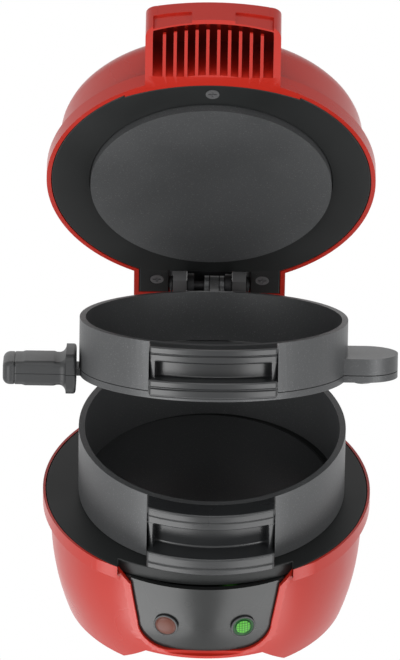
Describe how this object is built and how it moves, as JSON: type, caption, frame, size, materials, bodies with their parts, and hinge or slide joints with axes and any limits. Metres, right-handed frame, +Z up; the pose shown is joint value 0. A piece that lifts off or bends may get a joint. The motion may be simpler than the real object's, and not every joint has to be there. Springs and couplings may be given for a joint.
{
  "type": "breakfast sandwich maker",
  "caption": "Countertop sandwich cooker: round heated base, two hinged rings with finger grips, a cooking plate that swings out from between them, and a heated domed lid with a ribbed handle.",
  "frame": {"origin": "middle of the bounding box at the table, with the lid and the top ring raised as in the picture", "axes": "+Z up, -Y to the front with the two lights, +X to the right side with the plate's swivel; the lid hinge runs along X"},
  "size_m": [0.1616, 0.1612, 0.2663],
  "materials": {
    "red_plastic": "satin red moulded plastic",
    "black_plastic": "satin black moulded plastic",
    "black_metal": "black coated sheet",
    "panel_plastic": "matte dark grey",
    "black_rubber": "matte black",
    "nonstick_aluminium": "dark grey non-stick coat on aluminium",
    "bracket_steel": "grey coated steel",
    "element_sheath": "dull grey tube",
    "bright_steel": "plain steel",
    "ceramic": "off-white ceramic",
    "red_lens": "clear dark red, unlit",
    "green_lens": "clear green, lit",
    "neon_glass": "clear glass",
    "wire_sleeve": "woven glass sleeve"
  },
  "bodies": {
    "base": {"base_housing": "red_plastic", "bottom_cover": "black_plastic", "bottom_cover_screws": "bright_steel", "rubber_feet": "black_rubber", "base_deck": "black_metal", "lower_heating_plate": "nonstick_aluminium", "lower_heating_element": "element_sheath", "lower_reflector": "bright_steel", "lower_plate_screws": "bright_steel", "thermostat": "ceramic", "lower_thermal_fuse": "ceramic", "control_panel": "panel_plastic", "lamp_bezels": "black_plastic", "power_lens": "red_lens", "preheat_lens": "green_lens", "neon_lamps": "neon_glass", "lamp_holder": "black_plastic", "lamp_holder_screw": "bright_steel", "terminal_block": "ceramic", "supply_wiring": "wire_sleeve", "lamp_wiring": "wire_sleeve", "cord_gland": "black_rubber", "hinge_post": "black_plastic", "hinge_post_screws": "bright_steel", "hinge_pin": "bright_steel", "pin_clips": "bright_steel"},
    "bottom_ring": {"bottom_ring": "nonstick_aluminium", "bottom_ring_handle": "black_plastic", "bottom_ring_handle_screws": "bright_steel"},
    "top_ring": {"top_ring": "nonstick_aluminium", "top_ring_handle": "black_plastic", "top_ring_handle_screws": "bright_steel", "swivel_stud": "bright_steel", "swivel_washer": "bright_steel", "swivel_nut": "bright_steel"},
    "cooking_plate": {"cooking_plate": "nonstick_aluminium", "plate_handle_top": "black_plastic", "plate_handle_bottom": "black_plastic", "plate_handle_end_cap": "black_plastic", "plate_handle_screws": "bright_steel"},
    "lid": {"lid_housing": "red_plastic", "lid_face_plate": "black_metal", "lid_face_screws": "bright_steel", "upper_heating_plate": "nonstick_aluminium", "upper_heating_element": "element_sheath", "upper_reflector": "bright_steel", "upper_plate_screws": "bright_steel", "upper_thermal_fuse": "ceramic", "lid_hinge_bracket": "bracket_steel", "lid_wiring": "wire_sleeve"}
  },
  "joints": [
    {"name": "bottom_ring_hinge", "type": "hinge", "parent": "base", "child": "bottom_ring", "pos_m": [0.00325, 0.05441, 0.107], "axis": [-1, 0, 0], "range_deg": [0, 27]},
    {"name": "top_ring_hinge", "type": "hinge", "parent": "bottom_ring", "child": "top_ring", "pos_m": [0.00325, 0.05441, 0.107], "axis": [-1, 0, 0], "range_deg": [-23.3, 27]},
    {"name": "lid_hinge", "type": "hinge", "parent": "top_ring", "child": "lid", "pos_m": [0.00325, 0.05441, 0.107], "axis": [-1, 0, 0], "range_deg": [-49.8, 25]},
    {"name": "plate_swivel", "type": "hinge", "parent": "top_ring", "child": "cooking_plate", "pos_m": [0.06655, -0.01657, 0.1141], "axis": [0, 0.3955, 0.9184], "range_deg": [0, 95]}
  ]
}
